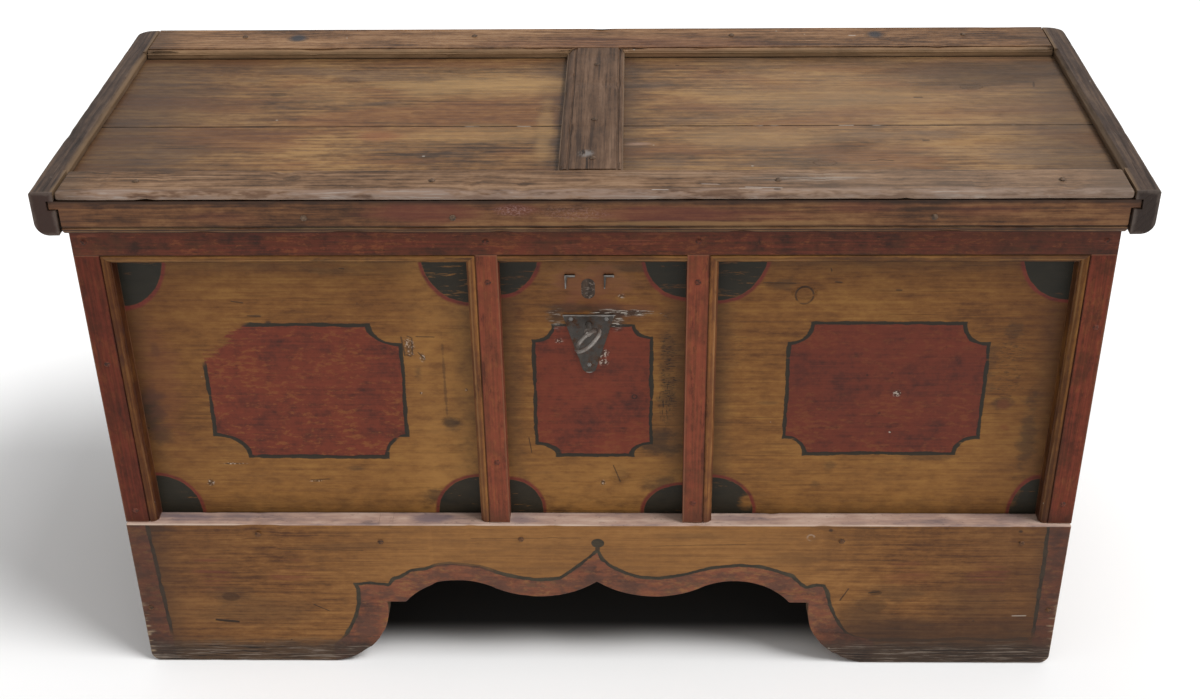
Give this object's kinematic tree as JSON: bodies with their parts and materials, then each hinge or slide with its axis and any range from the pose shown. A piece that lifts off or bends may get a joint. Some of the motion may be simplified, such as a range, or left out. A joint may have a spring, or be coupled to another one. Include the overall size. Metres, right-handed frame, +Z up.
{
  "type": "blanket chest",
  "caption": "Dovetailed pine blanket chest on cut-out feet, with panelled painted front, hinged lid with end cleats, strap hinges and a chest lock with its key.",
  "frame": {"origin": "on the floor, under the middle of the closed chest's bounding box", "axes": "+X to the chest's right seen from the front, +Y from the front to the back, +Z up"},
  "size_m": [1.262, 0.5313, 0.7069],
  "materials": {
    "ochre_panel": "aged ochre paint on pine",
    "ochre_boards": "thin worn ochre paint on pine",
    "ochre_sides": "thin worn ochre paint on pine",
    "bare_bottom": "bare aged pine",
    "painted_plinth": "aged ochre paint with dull red bands",
    "painted_strips": "aged dull red paint",
    "wooden_plug": "aged wood",
    "worn_lid": "worn bare pine",
    "worn_strips": "worn, traces of red paint",
    "painted_fascia": "worn red paint",
    "worn_cleats": "dark worn wood",
    "hinge_iron": "forged, dark",
    "lock_iron": "forged, dark",
    "bolt_iron": "forged, rubbed bright at the edges",
    "clinch_iron": "forged, dark",
    "key_iron": "forged, worn smooth",
    "escutcheon_iron": "sheet iron, rusted brown",
    "nail_iron": "forged, rusted"
  },
  "bodies": {
    "carcass": {"front_board": "ochre_panel", "back_upper_board": "ochre_boards", "back_lower_board": "ochre_boards", "left_side": "ochre_sides", "right_side": "ochre_sides", "bottom_front_board": "bare_bottom", "bottom_back_board": "bare_bottom", "front_plinth": "painted_plinth", "front_top_rail": "painted_strips", "left_stile": "painted_strips", "right_stile": "painted_strips", "left_muntin": "painted_strips", "right_muntin": "painted_strips", "board_plug": "wooden_plug", "left_hinge_leaf": "hinge_iron", "right_hinge_leaf": "hinge_iron", "left_hinge_pin": "hinge_iron", "right_hinge_pin": "hinge_iron", "lock_plate": "lock_iron", "lock_case": "lock_iron", "bolt_keepers": "lock_iron", "lock_clinches": "clinch_iron", "escutcheon": "escutcheon_iron", "escutcheon_nails": "nail_iron", "hinge_leaf_nails": "nail_iron", "carcass_nails": "nail_iron"},
    "lid": {"lid_front_board": "worn_lid", "lid_back_board": "worn_lid", "lid_front_strip": "worn_strips", "lid_back_strip": "worn_strips", "lid_centre_strip": "worn_strips", "lid_fascia": "painted_fascia", "left_cleat": "worn_cleats", "right_cleat": "worn_cleats", "left_hinge_strap": "hinge_iron", "right_hinge_strap": "hinge_iron", "lid_staple": "lock_iron", "lid_iron_nails": "nail_iron", "lid_nails": "nail_iron"},
    "key": {"key": "key_iron"},
    "bolt": {"lock_bolt": "bolt_iron"}
  },
  "joints": [
    {"name": "lid_hinge", "type": "hinge", "parent": "carcass", "child": "lid", "pos_m": [0, 0.25965, 0.6623], "axis": [-1, 0, 0], "range_deg": [0, 100]},
    {"name": "key_turn", "type": "hinge", "parent": "carcass", "child": "key", "pos_m": [-0.006, -0.2, 0.51], "axis": [0, -1, 0], "range_deg": [0, 95]},
    {"name": "bolt_throw", "type": "slide", "parent": "carcass", "child": "bolt", "axis": [-1, 0, 0], "range_m": [0, 0.025]}
  ],
  "couplings": [
    {"joint": "key_turn", "follows": "bolt_throw", "rad_per_m": 66.32}
  ]
}
